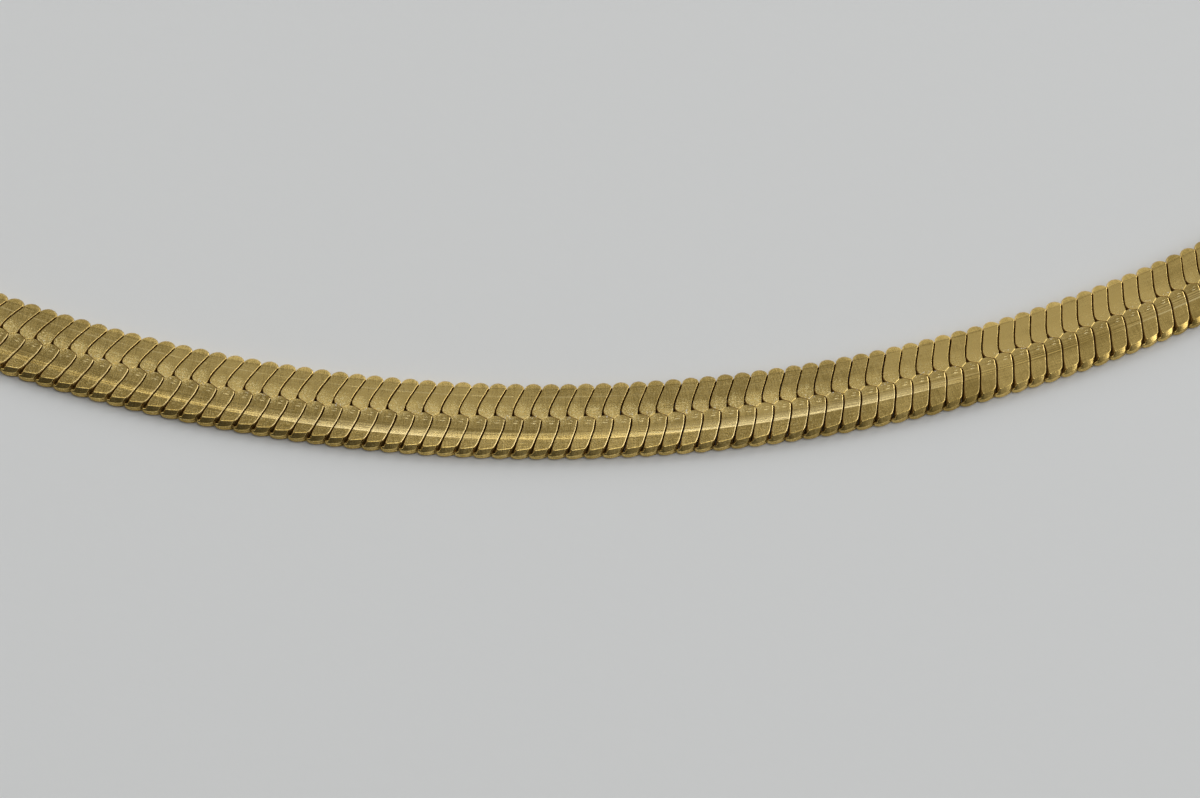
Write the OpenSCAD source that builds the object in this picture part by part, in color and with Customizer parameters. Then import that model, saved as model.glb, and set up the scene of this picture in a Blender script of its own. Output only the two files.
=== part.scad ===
// Herringbone chain necklace, laid flat as a closed loop.
// Millimetres. The bend of the chain that faces the viewer is at the -Y side,
// the clasp is at the +Y side, and the chain lies on z = 0.

/* [Loop] */
// Length of the closed necklace along its middle, clasp included
necklace_length = 457.2; // [380:0.1:620]
// Half of the angle that the wide front bend turns through
front_angle = 35; // [28:1:60]
// Straight run of chain between the side bend and the end cap
end_run = 1.6; // [1:0.1:6]

/* [Chain] */
// Width of the flat chain
chain_w = 5; // [3.4:0.1:8]
// Thickness of the flat chain at its middle
chain_t = 0.8; // [0.6:0.05:1.2]
// Half width of the level middle of the upper face
level_half = 1.15; // [0.6:0.05:1.6]
// How far the upper face falls away from there to each edge
edge_fall = 0.06; // [0.02:0.01:0.12]

/* [End caps] */
// Length of an end cap along the chain
cap_l = 5; // [3.5:0.1:9]
// Wall under, over and beside the chain inside a cap
cap_wall = 0.3; // [0.25:0.05:0.6]
// Wall that closes a cap's end
cap_end = 0.8; // [0.5:0.1:2]
// Chamfer along a cap's upper edges
cap_chamfer = 0.35; // [0.1:0.05:0.5]
// Thickness of a cap's tab and of the clasp's eye
tab_t = 0.5; // [0.4:0.05:0.8]
// Metal around the hole of a tab or of the clasp's eye
tab_rim = 0.45; // [0.35:0.05:0.8]

/* [Jump rings] */
// Diameter of a jump ring's wire
ring_wire = 0.6; // [0.4:0.05:0.8]
// Lean of a jump ring from upright
ring_lean = 45; // [35:1:52]

/* [Clasp] */
// Length of the clasp's thick body
body_l = 4.6; // [3:0.1:9]
// Width of the clasp
clasp_w = 4.8; // [4:0.1:8]
// Thickness of the clasp's body
clasp_t = 2.2; // [1.9:0.1:3]
// Width of the metal around the clasp's opening
bow_w = 0.8; // [0.6:0.05:1]
// Thickness of the metal around the clasp's opening
bow_t = 0.7; // [0.5:0.05:1]
// Straight part of each side of the clasp's opening
bow_straight = 1.4; // [1:0.1:4]

/* [Fit] */
// Gap between the chain and the inside of a cap
cap_clearance = 0.06; // [0.03:0.01:0.12]
// Gap around a jump ring's wire in a tab's hole
hole_clearance = 0.4; // [0.35:0.01:0.6]
// Gap between a jump ring's wire and the end of the clasp's opening
bow_clearance = 0.6; // [0.55:0.01:0.8]
// Gap between two tabs that one jump ring holds
tab_gap = 0.6; // [0.4:0.05:1]

/* [Hidden] */
$fn = 64;
gold = "goldenrod";
pale_gold = "gold";
// Extra reach of every cut past the face that it opens
cut = 1;
// Width of the groove where one bend of the chain meets the next
groove_w = 0.12;
// Depth of the groove in the upper and the lower face
groove_depth = 0.1;
// Reach of the joint under a groove into the chain on each side, short of the cap
joint_reach = end_run / 2;

// The bends of the chain are circles as thick as its edge
edge_t = chain_t - edge_fall;
edge_x = chain_w / 2 - edge_t / 2;

// Heights of the closure: tabs, eye and opening share the clasp's middle height
mid_z = clasp_t / 2;
cap_h = max(mid_z + tab_t / 2, chain_t + cap_clearance + cap_wall) + cap_chamfer / 2;
cap_w = chain_w + 2 * (cap_clearance + cap_wall);
pocket_h = chain_t - cap_wall + cap_clearance;
tongue_z = cap_wall + cap_clearance;
tongue_l = cap_l - cap_end - cap_clearance;
// The corners of a cap's closed end are cut so that their wall stays as thick as its sides
cap_corner = cap_end + cap_wall * (1 - sqrt(2));

// A tab's hole lets the leaning wire through
tab_bore = ring_wire / cos(ring_lean) + tab_t * tan(ring_lean) + 2 * hole_clearance;
tab_reach = tab_bore / 2 + tab_rim;

// The clasp's opening is a slot with round ends
open_w = clasp_w - 2 * bow_w;
open_l = bow_straight + open_w;
clasp_l = body_l + open_l + bow_w;

// A jump ring crosses the middle height this far from its centre, so that it holds two
// tabs, or a tab and the end of the clasp's bow, side by side
wire_reach = (ring_wire + bow_t) / 2;
bow_hold = (tab_reach + wire_reach + bow_clearance + bow_w + tab_gap / 2) / 2;
ring_cross = max(tab_reach + tab_gap / 2, bow_hold);
// Its radius follows from that, from its lean and from its standing on z = 0
ring_rise = (mid_z - ring_wire / 2) / cos(ring_lean);
ring_r = (pow(ring_cross, 2) + pow(ring_rise, 2)) / (2 * ring_rise);
ring_z = ring_r * cos(ring_lean) + ring_wire / 2;
ring_shift = (ring_r - ring_rise) * sin(ring_lean);

// Places along the closure, from the mouth of the left cap
left_ring = cap_l + tab_reach + ring_cross;
clasp_start = left_ring + ring_cross + tab_reach;
clasp_end = clasp_start + clasp_l;
right_ring = clasp_end - bow_w - bow_clearance - wire_reach + ring_cross;
closure_l = right_ring + ring_cross + tab_reach + cap_l;

// The loop: a wide front bend, two side bends and a straight back
half_straight = closure_l / 2 + end_run;
bend_gap = half_straight / sin(front_angle);
side_r = (necklace_length / 2 - half_straight - bend_gap * front_angle * PI / 180) / PI;
front_r = side_r + bend_gap;
bend_y = bend_gap * cos(front_angle);
// The loop's box is centred on the origin
front_y = (front_r + chain_w / 2 - side_r - cap_w / 2 + bend_y) / 2;
side_y = front_y - bend_y;
back_y = side_y + side_r;

// Cross-section of the chain: x runs outwards across the chain and y is height
module chain_section() {
    polygon([
        [-edge_x, 0],
        [edge_x, 0],
        [edge_x, edge_t],
        [level_half, chain_t],
        [-level_half, chain_t],
        [-edge_x, edge_t]
    ]);
    translate([-edge_x, edge_t / 2]) circle(d = edge_t);
    // The outer bend is flattened by a facet between its top and its side
    difference() {
        translate([edge_x, edge_t / 2]) circle(d = edge_t);
        translate([edge_x, edge_t]) rotate(-45) square(edge_t);
    }
}

// A bend of the chain about z, short of its full sweep by half a groove at each end
module chain_bend(radius, start_angle, sweep) {
    trim = groove_w / 2 / radius * 180 / PI;
    rotate([0, 0, start_angle + trim])
        rotate_extrude(angle = sweep - 2 * trim, $fn = 360)
            translate([radius, 0]) chain_section();
}

// A straight run of the chain from x = 0 towards +x, its outer edge at +y
module chain_straight(length) {
    rotate([90, 0, 90])
        linear_extrude(length)
            chain_section();
}

// The joint under a groove: a flat bar inside the chain, along it through x = 0
module chain_joint() {
    translate([-joint_reach, -edge_x, groove_depth])
        cube([2 * joint_reach, 2 * edge_x, edge_t - 2 * groove_depth]);
}

// Everything of the chain on the +x side of its front bend, in the place of the side bend's centre
module chain_side() {
    // Front joint
    rotate([0, 0, front_angle]) translate([0, -side_r, 0]) rotate([0, 0, 180]) chain_joint();
    chain_bend(side_r, front_angle - 90, 180 - front_angle);
    // Back joint and the end that the cap holds
    translate([0, side_r, 0]) {
        chain_joint();
        mirror([1, 0, 0]) chain_end();
    }
}

// One end of the chain, from the side bend into its cap
module chain_end() {
    difference() {
        translate([groove_w / 2, 0, 0]) chain_straight(end_run + tongue_l - groove_w / 2);
        translate([end_run - cap_clearance, -chain_w / 2 - cut, -cut])
            cube([tongue_l + cap_clearance + cut, chain_w + 2 * cut, tongue_z + cut]);
    }
}

module chain() {
    color(gold) {
        translate([0, front_y, 0]) chain_bend(front_r, -90 - front_angle, 2 * front_angle);
        translate([half_straight, side_y, 0]) chain_side();
        mirror([1, 0, 0]) translate([half_straight, side_y, 0]) chain_side();
    }
}

// A flat tab with a hole, pointing towards +x from x = 0, its root sunk in what carries it
module tab(root) {
    translate([0, 0, mid_z - tab_t / 2])
        difference() {
            union() {
                translate([-root, -tab_reach, 0]) cube([root + tab_reach, 2 * tab_reach, tab_t]);
                translate([tab_reach, 0, 0]) cylinder(r = tab_reach, h = tab_t);
            }
            translate([tab_reach, 0, -cut]) cylinder(d = tab_bore, h = tab_t + 2 * cut);
        }
}

// The outline of a cap across the chain, its upper edges chamfered
module cap_profile() {
    polygon([
        [-cap_w / 2, 0],
        [cap_w / 2, 0],
        [cap_w / 2, cap_h - cap_chamfer],
        [cap_w / 2 - cap_chamfer, cap_h],
        [-cap_w / 2 + cap_chamfer, cap_h],
        [-cap_w / 2, cap_h - cap_chamfer]
    ]);
}

// The outline of a cap seen from above, the corners of its closed end cut
module cap_plan() {
    polygon([
        [0, -cap_w / 2],
        [cap_l - cap_corner, -cap_w / 2],
        [cap_l, -cap_w / 2 + cap_corner],
        [cap_l, cap_w / 2 - cap_corner],
        [cap_l - cap_corner, cap_w / 2],
        [0, cap_w / 2]
    ]);
}

// The outline of a cap seen from the side, its closed end sloping in above the tab
module cap_side() {
    polygon([
        [0, 0],
        [cap_l, 0],
        [cap_l, cap_h - cap_chamfer],
        [cap_l - cap_chamfer, cap_h],
        [0, cap_h]
    ]);
}

// A cap with its mouth at x = 0 and its tab towards +x
module end_cap() {
    color(pale_gold) {
        difference() {
            intersection() {
                rotate([90, 0, 90]) linear_extrude(cap_l) cap_profile();
                linear_extrude(cap_h) cap_plan();
                translate([0, cap_w / 2, 0]) rotate([90, 0, 0]) linear_extrude(cap_w) cap_side();
            }
            translate([-cut, -chain_w / 2 - cap_clearance, cap_wall])
                cube([cap_l - cap_end + cut, chain_w + 2 * cap_clearance, pocket_h]);
        }
        translate([cap_l, 0, 0]) tab(cap_end / 2);
    }
}

module end_cap_left() {
    translate([-closure_l / 2, back_y, 0]) end_cap();
}

module end_cap_right() {
    translate([closure_l / 2, back_y, 0]) mirror([1, 0, 0]) end_cap();
}

// A leaning ring that stands on z = 0 at the given place along the closure
module jump_ring(place) {
    color(gold)
        translate([place - closure_l / 2, back_y + ring_shift, ring_z])
            rotate([90 - ring_lean, 0, 0])
                rotate_extrude()
                    translate([ring_r, 0]) circle(d = ring_wire);
}

module jump_ring_left() {
    jump_ring(left_ring);
}

module jump_ring_right() {
    jump_ring(right_ring);
}

// A flat bar with round ends, from x = 0 to x = length, about z = mid_z
module round_bar(length, width, thickness) {
    translate([0, 0, mid_z - thickness / 2]) {
        translate([width / 2, -width / 2, 0]) cube([length - width, width, thickness]);
        translate([width / 2, 0, 0]) cylinder(d = width, h = thickness);
        translate([length - width / 2, 0, 0]) cylinder(d = width, h = thickness);
    }
}

// The closed clasp: a thick body, a thinner bow around the opening, and an eye
module clasp() {
    color(pale_gold)
        translate([clasp_start - closure_l / 2, back_y, 0]) {
            difference() {
                union() {
                    round_bar(clasp_l, clasp_w, bow_t);
                    intersection() {
                        round_bar(clasp_l, clasp_w, clasp_t);
                        translate([-cut, -clasp_w, 0]) cube([body_l + cut, 2 * clasp_w, clasp_t]);
                    }
                }
                translate([body_l, 0, 0]) round_bar(open_l, open_w, clasp_t + 2 * cut);
            }
            mirror([1, 0, 0]) tab(clasp_w / 2);
        }
}

chain();
end_cap_left();
end_cap_right();
jump_ring_left();
jump_ring_right();
clasp();
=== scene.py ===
"""A gold-tone herringbone chain necklace, laid flat as a closed loop on a pale table.

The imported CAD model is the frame. The woven chain is built here link by link over its
solid band, and the closure at the back keeps its CAD solids with their edges eased.
Small shapes are written in millimetres and scaled to metres as their mesh is made.
"""
import math
from typing import NamedTuple

import bpy
import numpy as np
from mathutils import Matrix, Vector


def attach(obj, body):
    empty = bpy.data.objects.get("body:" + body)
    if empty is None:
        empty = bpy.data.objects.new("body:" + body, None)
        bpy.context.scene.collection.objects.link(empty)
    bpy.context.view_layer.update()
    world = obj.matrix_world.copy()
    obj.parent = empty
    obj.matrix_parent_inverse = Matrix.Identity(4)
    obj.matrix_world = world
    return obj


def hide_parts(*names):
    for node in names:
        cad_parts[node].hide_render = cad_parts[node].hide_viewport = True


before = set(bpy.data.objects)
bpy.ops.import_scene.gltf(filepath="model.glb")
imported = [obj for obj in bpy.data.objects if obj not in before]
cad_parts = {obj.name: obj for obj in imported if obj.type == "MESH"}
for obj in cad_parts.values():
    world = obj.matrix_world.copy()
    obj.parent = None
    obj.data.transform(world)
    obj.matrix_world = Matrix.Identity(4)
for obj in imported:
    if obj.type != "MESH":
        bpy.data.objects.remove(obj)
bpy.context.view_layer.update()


# ---------------------------------------------------------------------------
# The links of the chain. Each is one S-shaped slat of flat gold-tone wire. It is folded
# round both edges of the chain and hooked into its neighbours, and the whole chain is
# then pressed flat, so that two rows of slanted petals meet in a zigzag crease.

MM = 0.001
LINK_PITCH = 1.0805
# A slit lies this far along the chain from its foremost point
FIRST_SLIT = 0.265
HALF_SLIT = 0.065

# The loop that the chain lies in
FRONT_ANGLE = math.radians(35)
FRONT_RADIUS = 90.942
SIDE_RADIUS = 61.765
FRONT_CENTRE_Y = 26.359
SIDE_CENTRE = (16.736, 2.458)
CAP_MOUTH = 213.46
TONGUE_BOTTOM = 0.37

# Section of the chain: level in the middle, lower towards rounded edges
THICKNESS = 0.8
EDGE_HEIGHT = 0.74
LEVEL_HALF = 1.15
EDGE_MIDDLE = 2.13


def chain_place(along):
    """Points and inward normals of the chain's middle line at arc lengths from its front."""
    a = np.abs(along)
    front = FRONT_RADIUS * FRONT_ANGLE
    side = SIDE_RADIUS * (math.pi - FRONT_ANGLE)
    turn = np.where(a < front, a / FRONT_RADIUS, FRONT_ANGLE + (a - front) / SIDE_RADIUS)
    turn = np.minimum(turn, math.pi)
    on_front = a < front
    x = np.where(on_front, FRONT_RADIUS * np.sin(turn),
                 SIDE_CENTRE[0] + SIDE_RADIUS * np.sin(turn) - np.maximum(a - front - side, 0))
    y = np.where(on_front, FRONT_CENTRE_Y - FRONT_RADIUS * np.cos(turn),
                 SIDE_CENTRE[1] - SIDE_RADIUS * np.cos(turn))
    way = np.sign(along)
    return x * way, y, -np.sin(turn) * way, np.cos(turn)


# The slit between two links: offset across the chain, then along it. The lower row is
# the outer one, and 0 along the chain is the top of the inner scallop beside the slit.
SLIT = [
    (-2.5, -0.51), (-2.2, -0.32), (-2.0, -0.225), (-1.85, -0.16), (-1.64, -0.08), (-1.475, -0.02),
    (-1.35, 0.03), (-1.2, 0.088), (-1.06, 0.145), (-0.89, 0.208), (-0.725, 0.265), (-0.56, 0.308),
    (-0.39, 0.336), (-0.225, 0.354), (0.3, -0.24), (0.46, -0.222), (0.61, -0.187), (0.75, -0.132),
    (0.92, -0.066), (1.07, 0.0), (1.21, 0.07), (1.38, 0.158), (1.525, 0.234), (1.775, 0.36),
    (1.92, 0.42), (2.05, 0.455),
]


def slit(across):
    return float(np.interp(across, *zip(*SLIT)))


def left(across):
    """The slat's left edge on its upper face, which stands back beside the outer fold."""
    back = np.interp(-across, (1.55, 1.7, 1.8, 1.9, 2.0, 2.1, 2.2),
                     (0, 0.012, 0.02, 0.035, 0.065, 0.108, 0.155))
    return slit(across) + HALF_SLIT + float(back) - LINK_PITCH


def right(across):
    """The slat's right edge on its upper face, rounded off towards the outer fold."""
    back = np.interp(-across, (1.6, 1.8, 1.9, 2.0, 2.05), (0, 0.012, 0.03, 0.055, 0.1))
    return slit(across) - HALF_SLIT - float(back)


def crown(across):
    """Height of the upper face across the chain."""
    sloping = max(0, abs(across) - LEVEL_HALF)
    return THICKNESS - (THICKNESS - EDGE_HEIGHT) * sloping / (EDGE_MIDDLE - LEVEL_HALF)


class Row(NamedTuple):
    """A row of points of the slat, from its left end to its right end.

    The ends hold a place along the chain, a place across it and a height. The eased edges
    are widths, and the middle of the row may bow out across the chain and dip.
    """
    left_end: tuple
    right_end: tuple
    underside: float = 0
    eased_left: float = 0.05
    eased_right: float = 0.05
    bow: float = 0
    dip: float = 0


# The rows from the outer fold to the inner one
P = LINK_PITCH
ROWS = [
    # the outer fold's lower bend
    Row((-0.34 - P, -2.235, 0.33), (0.50 - P, -2.19, 0.33), 0.275, bow=-0.2),
    Row((-0.385 - P, -2.245, 0.37), (0.57 - P, -2.195, 0.37), 0.205, bow=-0.22),
    Row((-0.405 - P, -2.24, 0.415), (0.6 - P, -2.185, 0.42), 0.15, bow=-0.235),
    Row((-0.37 - P, -2.235, 0.455), (0.615 - P, -2.165, 0.48), 0.115, bow=-0.23),
    Row((-0.23 - P, -2.24, 0.49), (0.62 - P, -2.15, 0.54), 0.095, bow=-0.205),
    # the facet that pressing leaves between the upper face and the bend
    Row((-0.135 - P, -2.225, 0.6), (0.61 - P, -2.145, 0.59), 0.08, 0.04, 0.04, -0.195, 0.055),
    Row((-0.12 - P, -2.202, 0.718), (0.675 - P, -2.077, 0.726), 0.02),
    # the outer petal's face
    Row((left(-2.17) + 0.02, -2.17, 0.74), (right(-2.045), -2.045, 0.745), 0.012, 0.06, 0.06),
]
# the rest of that face, by the places across the chain of the left end and the right end
ROWS += [
    Row((left(a), a, crown(a)), (right(b), b, crown(b)),
        eased_left=0.03 if a < -1.7 else 0.012, eased_right=0.06)
    for a, b in (
        (-2.1, -1.985), (-1.99, -1.9), (-1.85, -1.78), (-1.66, -1.61), (-1.46, -1.43),
        (-1.28, -1.26), (-1.15, -1.13), (-0.98, -0.93), (-0.83, -0.75), (-0.72, -0.6),
        (-0.63, -0.45))]
# the outer petal's head, which tucks under the inner petal of the next link: the left end's
# place across, the right end's place along and across, the height and the right edge's width
ROWS += [
    Row((left(a), a, height), (u, b, height - 0.004), eased_left=0.012, eased_right=eased)
    for a, u, b, height, eased in (
        (-0.56, 0.3, -0.31, 0.8, 0.06), (-0.49, 0.312, -0.2, 0.8, 0.05),
        (-0.43, 0.31, -0.12, 0.799, 0.03), (-0.38, 0.24, -0.055, 0.797, 0.02),
        (-0.335, 0.145, 0.0, 0.794, 0.015), (-0.295, 0.045, 0.052, 0.79, 0.015),
        (-0.255, -0.05, 0.1, 0.786, 0.015), (-0.215, -0.13, 0.113, 0.782, 0.015),
        (-0.17, -0.23, 0.112, 0.777, 0.015), (-0.14, -0.345, 0.112, 0.77, 0.015))]
# the inner petal's foot, from its rim over the crease up to its straight sides: the left
# end's place along and across, the right end's place across, the height and the left edge's
# width. The right end leaves a small three-sided hole beside the heads that meet there.
ROWS += [
    Row((u - P, a, height), (-0.355 + max(0, b - 0.1) * 0.22, b, height),
        eased_left=eased, eased_right=0.015)
    for u, a, b, height, eased in (
        (0.375, -0.118, 0.125, 0.789, 0.03), (0.35, -0.095, 0.15, 0.796, 0.035),
        (0.3, -0.06, 0.185, 0.8, 0.04), (0.2, -0.005, 0.225, 0.8, 0.04),
        (0.1, 0.045, 0.262, 0.8, 0.04), (0.005, 0.095, 0.302, 0.8, 0.04),
        (-0.075, 0.145, 0.345, 0.8, 0.04), (-0.125, 0.2, 0.39, 0.8, 0.035),
        (-0.156, 0.265, 0.44, 0.8, 0.03), (-0.17, 0.345, 0.5, 0.8, 0.025),
        (-0.175, 0.45, 0.57, 0.8, 0.015))]
# the inner petal's face
ROWS += [
    Row((left(a), a, crown(a)), (right(a), a, crown(a)), eased_left=0.012, eased_right=0.03)
    for a in (0.65, 0.79, 0.94, 1.1, 1.28, 1.46, 1.62, 1.78, 1.91)]
# the dome over the inner fold: rows at steeper and steeper slopes in degrees
ROWS += [Row((-0.605, 1.975, 0.746), (0.425, 1.985, 0.746), 0.002, 0.03, 0.04, 0.06)]
DOME_RADIUS = EDGE_HEIGHT / 2
for slope, u_left, u_right in (
        (12, -0.585, 0.44), (30, -0.57, 0.455), (46, -0.558, 0.465), (61, -0.55, 0.472),
        (75, -0.543, 0.477), (87, -0.538, 0.48)):
    swell = math.sin(math.radians(slope))
    tall = DOME_RADIUS * math.cos(math.radians(slope))
    end = 1.995 + 0.06 * swell
    ROWS += [Row((u_left, end, DOME_RADIUS + tall), (u_right, end, DOME_RADIUS + tall),
                 DOME_RADIUS - tall, 0.03, 0.035, EDGE_MIDDLE + DOME_RADIUS * swell - end)]

# Places of the points of a row, as shares of its length: on its upper face and underneath
FACE_SHARES = (0, 0.08, 0.26, 0.5, 0.74, 0.92, 1)
UNDER_SHARES = (0.95, 0.76, 0.5, 0.24, 0.05)

# The walls below the upper face start at this depth, and lean so far towards the next
# links at the bottom that no light comes up through a slit
WALL_TOP = 0.035
WALL_LEAN = 0.061
# The walls in the slits are painted dark with dirt and painted shade, and the open folds a little. Below
# 0 it marks a painted highlight on the rim along a petal's right edge.
SLIT_DIRT_AND_SHADE, FOLD_DIRT_AND_SHADE = 1.0, 0.25
OUTER_RIM_HIGHLIGHT, INNER_RIM_HIGHLIGHT = -0.5, -0.12
# Places across the chain: from the first to the last of them the next links lie close beside the slat,
# from the second its slits are painted with dirt and shade, from the third it has full width
CLOSE_FROM, DIRT_AND_SHADE_FROM, FULL_WIDTH_FROM, CLOSE_TO = -2.23, -2.0, -1.5, 1.99


def slat():
    """One link as rows of points round it: along, across and height in mm, and its painted dirt and
    shade, which below 0 is a painted rim highlight.
    """
    loops = []
    for row in ROWS:
        a, b = np.array(row.left_end), np.array(row.right_end)
        wide = b[0] - a[0]
        drop = min(WALL_TOP, 0.3 * (min(a[2], b[2]) - row.underside))
        eased_left, eased_right = (min(eased / wide, 0.3) for eased in (row.eased_left, row.eased_right))
        lean_left = lean_right = WALL_LEAN if CLOSE_FROM < a[1] < CLOSE_TO else 0
        if CLOSE_FROM < a[1] < FULL_WIDTH_FROM:
            # the petal is narrower here, so its walls lean out to where its slits would be
            lean_left += max(0, a[0] - (slit(a[1]) + HALF_SLIT - P))
            lean_right += max(0, slit(b[1]) - HALF_SLIT - b[0])
        # the walls and underside get painted dirt and shade: dark in the slits, lighter on the open
        # folds
        dirt_shade_sheen = SLIT_DIRT_AND_SHADE if DIRT_AND_SHADE_FROM < a[1] < CLOSE_TO else FOLD_DIRT_AND_SHADE
        rim_highlight = OUTER_RIM_HIGHLIGHT if b[1] < 0.1 else INNER_RIM_HIGHLIGHT

        def point(share, height=None, point_dirt_shade_sheen=0.0, back=0.0):
            """A point at a share of the row's length, moved back along the chain."""
            arch = math.sqrt(max(0, 1 - (2 * share - 1) ** 2))
            along, across, top = a + (b - a) * share + arch * np.array((0, row.bow, -row.dip))
            return along - back, across, top if height is None else height, point_dirt_shade_sheen

        bottom = row.underside + drop
        loop = [
            point(0, bottom, dirt_shade_sheen, lean_left),
            point(0, a[2] - 2 * drop, dirt_shade_sheen, lean_left / 3),
            point(0, a[2] - drop, dirt_shade_sheen * 0.8)]
        loop += [point(eased_left + (1 - eased_left - eased_right) * share) for share in FACE_SHARES]
        loop += [
            # a value below 0 here paints a highlight on the petal's right rim
            point(1, b[2] - drop, rim_highlight * dirt_shade_sheen),
            point(1, b[2] - 2 * drop, dirt_shade_sheen, -lean_right / 3),
            point(1, bottom, dirt_shade_sheen, -lean_right)]
        loop += [
            point(share, row.underside, dirt_shade_sheen * 0.5, lean_left * (1 - share) - lean_right * share)
            for share in UNDER_SHARES]
        loops.append(loop)
    return np.array(loops)


def weighted_normals(points):
    """Normals of a grid of points (link, row, place round it), led by its larger faces."""
    after = np.roll(points, -1, axis=2)
    a, b, c, d = points[:, :-1], after[:, :-1], after[:, 1:], points[:, 1:]
    face = np.cross(c - a, d - b)
    face *= np.linalg.norm(face, axis=-1, keepdims=True)
    # the upper face rules over its eased edges, and those over the walls
    face[:, :, 2:3 + len(FACE_SHARES)] *= 100
    face[:, :, 3:2 + len(FACE_SHARES)] *= 100
    total = np.zeros_like(points)
    total[:, :-1] += face
    total[:, 1:] += face
    total[:, :-1] += np.roll(face, 1, axis=2)
    total[:, 1:] += np.roll(face, 1, axis=2)
    return total / np.maximum(np.linalg.norm(total, axis=-1, keepdims=True), 1e-30)


# How far the links are out of true, as one standard deviation: their slopes along and
# across the chain, how deep they are sunk and how far they are shifted along the chain
SLOPE_ALONG, SLOPE_ACROSS = 0.006, 0.0022
SUNK, SUNK_SPREAD, SHIFTED = 0.004, 0.003, 0.004
# The thin end of the chain begins so far before the cap's mouth, and thins over a length
THIN_BEFORE, THIN_LENGTH = 0.6, 0.5


def make_links(name, first, last):
    """The links numbered first to last as one mesh, each a little out of true.

    Its attributes are lie, a point's place on the chain in mm, petal: the place along its own link, the
    tone of that link and its painted dirt and shade, which below 0 is a painted rim highlight, and
    inward: the way to the neck.
    """
    shape = slat()
    numbers = np.arange(first, last + 1)
    count, (rows, round_it, _) = len(numbers), shape.shape
    chance = np.random.default_rng(41).normal(size=(2000, 5))[numbers + 1000]
    tilt, lean, sunk, shift, tone = np.moveaxis(chance[:, :, None, None], 1, 0)
    local = np.broadcast_to(shape, (count, *shape.shape))
    along, across, height, dirt_shade_sheen = np.moveaxis(local, -1, 0)
    centre = along + 0.45 * P - across * 0.21
    rock = SLOPE_ALONG * tilt * centre + SLOPE_ACROSS * lean * across
    rise = np.minimum(SUNK_SPREAD * sunk - SUNK, 0)
    height = height + (rock + rise) * height / THICKNESS
    place = FIRST_SLIT + numbers[:, None, None] * P + along + SHIFTED * shift
    # the ends of the chain are pressed thin on their underside, to fit into the caps
    thin = np.clip((np.abs(place) - CAP_MOUTH + THIN_BEFORE) / THIN_LENGTH, 0, 1)
    lift = TONGUE_BOTTOM * thin * thin * (3 - 2 * thin)
    height = lift + height * (THICKNESS - lift) / THICKNESS
    x, y, nx, ny = chain_place(place)
    points = np.stack([x + across * nx, y + across * ny, height], axis=-1) * MM
    normals = weighted_normals(points)
    index = np.arange(count * rows * round_it).reshape(count, rows, round_it)
    after = np.roll(index, -1, axis=2)
    quads = np.stack([index[:, :-1], after[:, :-1], after[:, 1:], index[:, 1:]], axis=-1)
    tips = index[:, 0, ::-1].tolist() + index[:, -1].tolist()
    mesh = bpy.data.meshes.new(name)
    mesh.from_pydata(points.reshape(-1, 3).tolist(), [], quads.reshape(-1, 4).tolist() + tips)
    mesh.shade_smooth()
    mesh.normals_split_custom_set_from_vertices(normals.reshape(-1, 3).tolist())
    for kind, values in (
            ("lie", (place, across, height)), ("inward", (nx, ny, nx * 0)),
            ("petal", (along, np.broadcast_to(tone, place.shape), dirt_shade_sheen))):
        attribute = mesh.attributes.new(kind, "FLOAT_VECTOR", "POINT")
        attribute.data.foreach_set("vector", np.stack(values, axis=-1).astype(np.float32).ravel())
    made = bpy.data.objects.new(name, mesh)
    bpy.context.scene.collection.objects.link(made)
    return made


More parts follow.
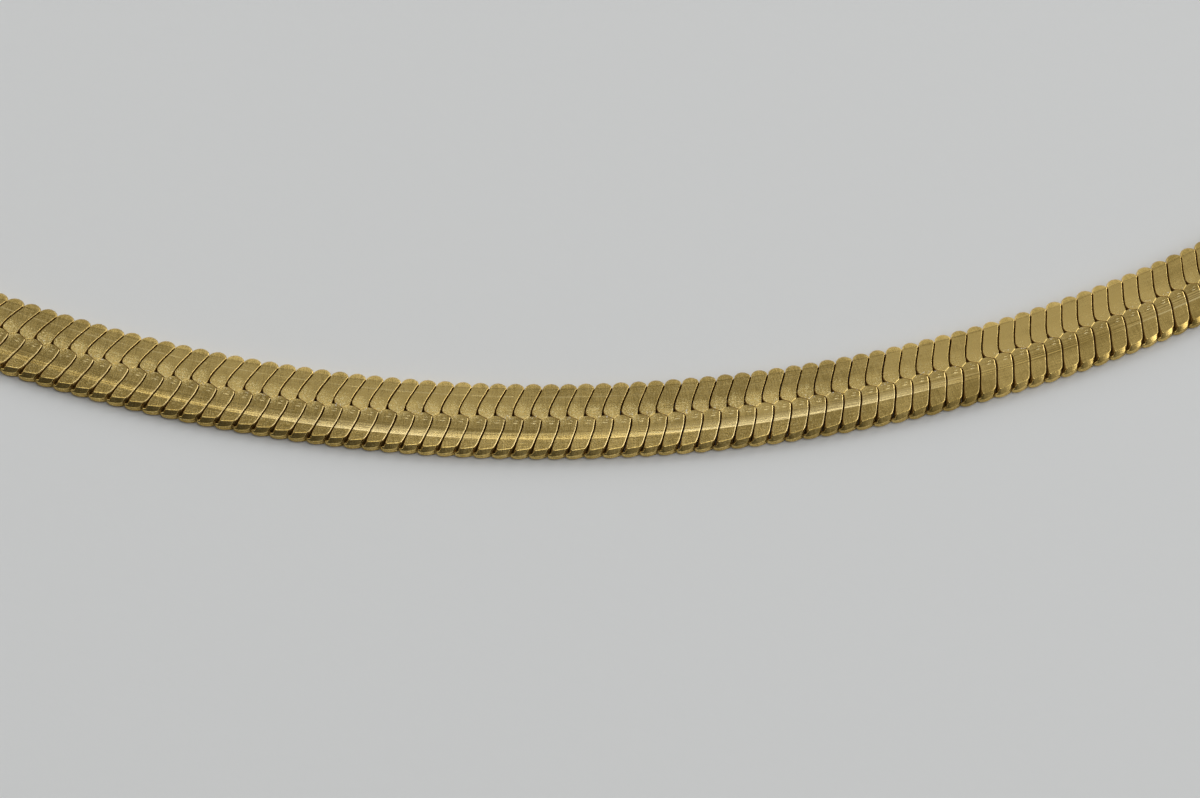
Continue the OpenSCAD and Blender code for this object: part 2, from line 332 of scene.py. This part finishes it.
class Wire:
    """An output of a shader node, which adds Math nodes when it is used in a sum."""

    def __init__(self, tree, socket=None):
        self.tree, self.socket = tree, socket

    def node(self, kind, settings=(), sockets=(), output=0):
        """Adds a node of that kind: its settings are set first, then its sockets' values or wires."""
        made = self.tree.nodes.new("ShaderNode" + kind)
        for name, value in dict(settings).items():
            setattr(made, name, value)
        for name, value in dict(sockets).items():
            if isinstance(value, Wire):
                self.tree.links.new(value.socket, made.inputs[name])
            else:
                made.inputs[name].default_value = value
        return Wire(self.tree, made.outputs[output] if made.outputs else None)

    def math(self, operation, *values):
        return self.node("Math", {"operation": operation}, dict(enumerate(values)))

    def __add__(self, other):
        return self.math("ADD", self, other)

    def __sub__(self, other):
        return self.math("SUBTRACT", self, other)

    def __rsub__(self, other):
        return self.math("SUBTRACT", other, self)

    def __mul__(self, other):
        return self.math("MULTIPLY", self, other)

    def __truediv__(self, other):
        return self.math("DIVIDE", self, other)

    def __abs__(self):
        return self.math("ABSOLUTE", self)

    __radd__, __rmul__ = __add__, __mul__

    def part(self, index):
        """One number of a vector."""
        return self.node("SeparateXYZ", {}, {0: self}, index)

    def between(self, low, high):
        """0 at low and below, 1 at high and above, with a smooth rise between them."""
        ends = {0: self, 1: low, 2: high, 3: 0.0, 4: 1.0}
        return self.node("MapRange", {"interpolation_type": "SMOOTHSTEP"}, ends)

    def near(self, place, full, none):
        """1 within a distance of a place, and 0 beyond a larger one."""
        return 1 - abs(self - place).between(full, none)

    def wave(self, crest, period):
        """A cosine wave that has a crest at one place."""
        turned = (self - crest) * (2 * math.pi / period)
        return turned.math("COSINE", turned)

    def colours(self, low, high):
        """The colour low where this is 0, and high where it is 1."""
        ends = {i: (*c, 1) if isinstance(c, tuple) else c for i, c in ((6, low), (7, high))}
        return self.node("Mix", {"data_type": "RGBA"}, {0: self, **ends}, 2)

    def vector(self, operation, other=None, output=0):
        """Vector Math with another vector, or with a number for SCALE."""
        second = {} if other is None else {3 if operation == "SCALE" else 1: other}
        return self.node("VectorMath", {"operation": operation}, {0: self, **second}, output)

    def scaled(self, *factors):
        return self.vector("MULTIPLY", factors)

    def noise(self, scale, detail=2.0, rough=0.5):
        grain = {"Scale": scale, "Detail": detail, "Roughness": rough}
        return self.node("TexNoise", {}, {"Vector": self, **grain})

    def attribute(self, name):
        return self.node("Attribute", {"attribute_name": name}, output=1)


def new_material(name):
    """An empty material, and a wire to start its nodes from."""
    material = bpy.data.materials.new(name)
    material.use_nodes = True
    material.node_tree.nodes.clear()
    return material, Wire(material.node_tree)


def chain_gold():
    """Gold tone that handling has finely scratched, with dirt and painted shade in the slits, painted
    highlights and glints, and some lint.
    """
    material, start = new_material("worn_chain_gold")
    lie, petal, inward = (start.attribute(name) for name in ("lie", "petal", "inward"))
    along, across = lie.part(0), lie.part(1)
    # the third part of petal holds painted dirt and shade, and below 0 a painted rim highlight
    in_link, own, dirt_shade_sheen = petal.part(0), petal.part(1), petal.part(2)

    # hairline scratches along the chain, brush marks across it, specks, and slow changes
    hairs = lie.scaled(0.6, 20, 1).noise(1.0, 3.0, 0.6)
    strands = lie.scaled(0.1, 13, 1).noise(1.0, 2.0)
    brushing = lie.scaled(18, 1.2, 1).noise(1.0, 2.0)
    nicks = lie.noise(11.0, 2.0, 0.6)
    grain = lie.noise(24.0, 2.0, 0.6)
    clouds = lie.noise(1.3, 2.0)
    drift = lie.scaled(0.16, 0.5, 0).noise(1.0, 1.0)

    # the chain is less worn from 8 to 26 mm to the right of its front. The inner petals' feet are worn
    # matt, painted lighter as painted light and specked with painted glints, in a rough oval round their
    # lower left corner
    smoother = along.between(8.0, 26.0)
    wear = 1 - smoother * 0.7
    aside, ahead = (in_link + 0.82) / 0.75, (across - 0.2) / 0.8
    reach = aside * aside + ahead * ahead + (clouds - 0.5) * 1.6
    foot = (1 - reach.between(-0.3, 1.3)) * wear
    painted_glints = nicks.between(0.54, 0.62) * 0.9 + grain.between(0.56, 0.64) * 0.8
    painted_glints = painted_glints * (foot * 0.7 + wear * 0.3)

    # tool marks on the outer petals' heads: two short dashes
    marks = 0
    for mark_along, mark_across, half_length, half_width in (
            (-0.13, -0.37, 0.17, 0.035), (-0.03, -0.21, 0.12, 0.025)):
        away = abs(in_link - mark_along) / half_length + abs(across - mark_across) / half_width
        marks = (1 - away.between(0.6, 1.2)) * grain.between(0.38, 0.5) + marks

    # a burnished ridge drifts inwards along the outer petals. It comes and goes in waves
    # of 26.5 mm, and fades out at both ends of the photographed stretch
    strength = along.wave(12.0, 26.5) * 0.42 + (drift - 0.5) * 0.6 + (strands - 0.5) * 2.2 + 0.4
    strength = strength + along.between(-24.0, 20.0) * 0.2 - along.between(20.0, 30.0) * 0.5
    strength = strength - (1 - along.between(-36.0, -26.0)) * 0.35
    from_ridge = across + 1.47 - along.between(-8.0, 26.0) * 0.47
    ridge_edge = from_ridge.between(-0.03, 0.0)
    ridge = (1 - from_ridge.between(0.02, 0.75)) * ridge_edge
    # a painted highlight that lightens the tone along the ridge, beside the real lean that shows the
    # lamp
    painted_ridge_highlight = (1 - from_ridge.between(0.1, 0.7)) * ridge_edge * strength
    beside = from_ridge.near(0.35, 0.25, 0.5)

    # a scratched line runs along the inner petals on the left, painted brighter as a painted highlight.
    # The pressed inner folds are duller and painted darker as painted shade, with a darker painted shade
    # line along their crease
    line = across.near(1.43, 0.01, 0.045) * hairs.between(0.42, 0.55)
    line = line * (1 - along.between(-4.0, 8.0) * 0.8)
    fold = across.between(1.96, 2.06)
    crease = across.near(1.97, 0.02, 0.09)

    # painted light and shade: both rows are painted brighter and darker by turns along the chain, and
    # the strip outside the ridge is painted darker, as shade where it slopes away
    inner_row = across.between(-0.1, 0.1)
    painted_light_and_shade = (along.wave(-15.0, 42.0) * 0.42 + 0.25) * inner_row
    rising = (along.between(-30.0, 20.0) - 0.5) * 0.4 - along.between(22.0, 34.0) * 0.25
    painted_light_and_shade = painted_light_and_shade + rising * (1 - inner_row)
    painted_light_and_shade = painted_light_and_shade - (along.wave(-24.0, 36.0) * 0.3 + 0.25) * (0 - from_ridge).between(0.0, 0.05)
    scratches = (hairs - 0.5) * 1.1 + (brushing - 0.5) * 1.6 + (grain - 0.5) * 3.8
    tone = (clouds - 0.5) * 0.7 + (drift - 0.5) * 1.2 + scratches * (wear * 1.2 + 0.2)
    # the ridge's glow, the scratched line and the feet are painted lighter here as painted light
    tone = tone + (strands - 0.5) * (beside * 3.0 + 0.4) + painted_ridge_highlight * 0.5 + line * 0.8 + foot * 0.6
    # the crease and the folds are painted darker here as painted shade
    tone = tone + painted_light_and_shade + own * 0.13 - crease * 0.3 - fold * 0.35 + 0.5

    deep_gold, bright_gold = (0.49, 0.335, 0.09), (0.99, 0.715, 0.235)
    # pale colours for painted glints, painted highlights and painted rim highlights, and a dark brown
    # for painted dirt and shade in the slits
    glint_gold, highlight_gold, rim_highlight_gold = (1.0, 0.84, 0.42), (1.0, 0.88, 0.54), (0.98, 0.79, 0.4)
    slit_dirt_and_shade, lint_grey = (0.25, 0.13, 0.03), (0.62, 0.62, 0.62)
    gold = tone.colours(deep_gold, bright_gold)
    gold = painted_glints.colours(gold, glint_gold)
    # painted highlights: the tool marks, the scratched line and the ridge are painted towards a pale
    # highlight colour
    painted_highlight_mix = marks * 0.7 + line * 0.35 + ridge * strength.between(0.1, 1.0) * 0.4
    gold = painted_highlight_mix.colours(gold, highlight_gold)
    # a painted highlight on the petals' right rims where the third part of petal is below 0, then
    # painted dirt and shade in the slits and on the folds
    gold = (dirt_shade_sheen * (smoother * 0.7 - 1.2)).colours(gold, rim_highlight_gold)
    gold = dirt_shade_sheen.colours(gold, slit_dirt_and_shade)
    # a little lint is caught here and there in the crease between the rows
    lint = nicks.between(0.58, 0.66) * clouds.between(0.52, 0.6) * across.near(0.06, 0.1, 0.2) * 0.85
    gold = lint.colours(gold, lint_grey)
    rough = 0.19 + (hairs - 0.5) * 0.12 + fold * 0.12 + foot * 0.1 + painted_glints * 0.12
    rough = rough + dirt_shade_sheen.between(0.0, 1.0) * 0.5 + lint * 0.4

    # depths of the fine relief in mm
    bumps = hairs * 0.0022 + strands * 0.003 + nicks * 0.006 * (foot + wear * 0.5)
    bumps = bumps + grain * 0.0028 * wear + line * 0.002 + marks * 0.004
    # the ridge leans out by up to 8 degrees, which shows the lamp overhead in it
    lean = ridge * (strength * 0.03 + 0.11) * (1 - (0 - across).between(1.0, 1.3) * 0.45)
    facing = start.node("NewGeometry", output=1).vector("SUBTRACT", inward.vector("SCALE", lean))
    relief = start.node("Bump", {}, {
        "Strength": 1.0, "Distance": MM, "Height": bumps, "Normal": facing.vector("NORMALIZE")})
    surface = start.node("BsdfPrincipled", {}, {
        "Base Color": gold, "Metallic": (1 - lint) * (1 - dirt_shade_sheen.between(0.0, 0.9)),
        "Roughness": rough, "Specular IOR Level": 0.0, "Normal": relief})
    start.node("OutputMaterial", {}, {"Surface": surface})
    return material


# Five stretches keep each mesh small. The last link ends inside the cap's mouth.
link_gold = chain_gold()
LAST_LINK = 200
for stretch, first, last in (
        ("links_front", -38, 38), ("links_right_side", 39, 119), ("links_right_back", 120, LAST_LINK),
        ("links_left_side", -119, -39), ("links_left_back", -LAST_LINK, -120)):
    links = make_links(stretch, first, last)
    links.data.materials.append(link_gold)
    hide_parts("chain")
    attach(links, "root")


# ---------------------------------------------------------------------------
# The two end caps, crimped over the ends of the chain, each with a pierced tab. They are
# pressed from the same gold-tone metal and polished, with their edges eased by tumbling.

def polished_gold(name, roughness):
    """Polished gold tone with fine random hairlines."""
    material, start = new_material(name)
    where = start.node("TexCoord", output=3)
    hairs = where.scaled(900, 9000, 4000).noise(1.0, 3.0, 0.6)
    clouds = where.noise(700.0, 2.0)
    tone = (clouds - 0.5) * 0.8 + (hairs - 0.5) * 0.3 + 0.5
    relief = start.node("Bump", {}, {
        "Strength": 1.0, "Distance": MM, "Height": hairs * 0.0012 + clouds * 0.004})
    surface = start.node("BsdfPrincipled", {}, {
        "Base Color": tone.colours((0.66, 0.48, 0.19), (0.9, 0.68, 0.3)), "Metallic": 1.0,
        "Roughness": roughness + (hairs - 0.5) * 0.12, "Normal": relief})
    start.node("OutputMaterial", {}, {"Surface": surface})
    return material


def dress(node, material):
    """Gives a CAD solid its material."""
    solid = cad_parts[node]
    solid.data.materials.clear()
    solid.data.materials.append(material)
    return solid


def ease_edges(solid, width):
    """Rounds the sharp edges of a CAD solid, by a width in mm."""
    weld = solid.modifiers.new("joined_faces", "WELD")
    weld.merge_threshold = 1e-7
    eased = solid.modifiers.new("eased_edges", "BEVEL")
    eased.width = width * MM
    eased.segments = 3
    eased.limit_method = "ANGLE"
    eased.angle_limit = math.radians(30)
    eased.harden_normals = True


cap_gold = polished_gold("cap_gold", 0.22)
for node in ("end_cap_left", "end_cap_right"):
    ease_edges(dress(node, cap_gold), 0.12)


# ---------------------------------------------------------------------------
# The two jump rings. Each is bent from round gold-tone wire, joins a cap's tab to the
# clasp, and is smooth and polished as drawn.

ring_gold = polished_gold("ring_gold", 0.18)
for node in ("jump_ring_left", "jump_ring_right"):
    dress(node, ring_gold)


# ---------------------------------------------------------------------------
# The clasp: one plain closed piece with an eye. It is cast in the same metal and polished,
# with softly rounded edges.

ease_edges(dress("clasp", polished_gold("clasp_gold", 0.2)), 0.28)


# ---------------------------------------------------------------------------
# The table, the studio light and the camera. The table is matt pale paper. A high soft
# lamp, three windows and a dim room give the light of the photograph.

def table_paper():
    """Matt paper with faint fibres and clouds."""
    material, start = new_material("pale_table")
    where = start.node("TexCoord", output=3)
    fibres = where.noise(900.0, 4.0, 0.6)
    clouds = where.noise(9.0, 2.0)
    relief = start.node("Bump", {}, {"Strength": 0.25, "Distance": MM, "Height": fibres * 0.03})
    tone = (clouds - 0.5) * 0.5 + (fibres - 0.5) * 0.3 + 0.5
    surface = start.node("BsdfPrincipled", {}, {
        "Base Color": tone.colours((0.765, 0.776, 0.772), (0.795, 0.806, 0.802)),
        "Roughness": 0.7, "Normal": relief})
    start.node("OutputMaterial", {}, {"Surface": surface})
    return material


TABLE_HALF = 3.0
corners = [(x * TABLE_HALF, y * TABLE_HALF, 0) for x, y in ((-1, -1), (1, -1), (1, 1), (-1, 1))]
table_mesh = bpy.data.meshes.new("table")
table_mesh.from_pydata(corners, [], [(0, 1, 2, 3)])
table_mesh.materials.append(table_paper())
table = bpy.data.objects.new("table", table_mesh)
bpy.context.scene.collection.objects.link(table)

# The camera stands a little to the left of the chain's front, looks down and is tilted
CAMERA_TURN = math.radians(11.6)
CAMERA_HEIGHT = math.radians(61.5)
CAMERA_ROLL = math.radians(8.326)
CAMERA_DISTANCE = 0.27076
LOOK_AT = Vector((0, -0.062925, 0))

away = Vector((math.sin(CAMERA_TURN), math.cos(CAMERA_TURN), 0))
rightward = Vector((math.cos(CAMERA_TURN), -math.sin(CAMERA_TURN), 0))
upward = Vector((0, 0, 1))
sight = away * math.cos(CAMERA_HEIGHT) - upward * math.sin(CAMERA_HEIGHT)
over = away * math.sin(CAMERA_HEIGHT) + upward * math.cos(CAMERA_HEIGHT)
side = rightward * math.cos(CAMERA_ROLL) + over * math.sin(CAMERA_ROLL)
top = over * math.cos(CAMERA_ROLL) - rightward * math.sin(CAMERA_ROLL)
camera_data = bpy.data.cameras.new("camera")
camera_data.sensor_width = 36
camera_data.lens = 135
camera = bpy.data.objects.new("camera", camera_data)
facing = Matrix((side, top, -sight)).transposed().to_4x4()
camera.matrix_world = Matrix.Translation(LOOK_AT - sight * CAMERA_DISTANCE) @ facing
bpy.context.scene.collection.objects.link(camera)
bpy.context.scene.camera = camera


def sky(azimuth, elevation):
    """A direction: azimuth 0 is away from the camera and 90 is to its right, in degrees."""
    a, e = math.radians(azimuth), math.radians(elevation)
    return (away * math.cos(a) + rightward * math.sin(a)) * math.cos(e) + upward * math.sin(e)


def softbox(name, azimuth, elevation, distance, width, height, radiance):
    """A lit panel that faces the chain's front. Radiance is what it looks like in a mirror."""
    data = bpy.data.lights.new(name, "AREA")
    data.shape = "RECTANGLE"
    data.size, data.size_y = width, height
    data.energy = radiance * width * height * 4
    lamp = bpy.data.objects.new(name, data)
    direction = sky(azimuth, elevation)
    lamp.location = LOOK_AT + direction * distance
    lamp.rotation_euler = direction.to_track_quat("Z", "Y").to_euler()
    bpy.context.scene.collection.objects.link(lamp)


softbox("overhead_panel", 180, 87, 0.8, 0.5, 0.42, 1.1)
softbox("window_far_left", -55, 30, 0.9, 0.75, 0.63, 1.2)
softbox("window_far_right", 35, 30, 0.9, 0.3, 0.5, 2.5)
softbox("window_right", 87, 30, 0.9, 0.62, 0.55, 1.5)

# The room: a light wall on the far side, a dim ceiling, and a dark wall behind the camera
room = bpy.data.worlds.new("room")
room.use_nodes = True
room.node_tree.nodes.clear()
start = Wire(room.node_tree)
direction = start.node("TexCoord", output=0)
far, right_hand, high = (
    direction.vector("DOT_PRODUCT", tuple(way), 1) for way in (away, rightward, upward))
low = 1 - high.between(0.62, 0.78)
level = 0.09 + far.between(-0.15, 0.25) * 0.22 + far.between(0.15, 0.5) * low * 0.2 + right_hand * 0.22
level = level.math("MAXIMUM", level, 0.085)
back = start.node("Background", {}, {"Color": level.colours((0, 0, 0), (1, 1, 1)), "Strength": 1.0})
start.node("OutputWorld", {}, {"Surface": back})
bpy.context.scene.world = room
bpy.context.scene.view_settings.view_transform = "Standard"
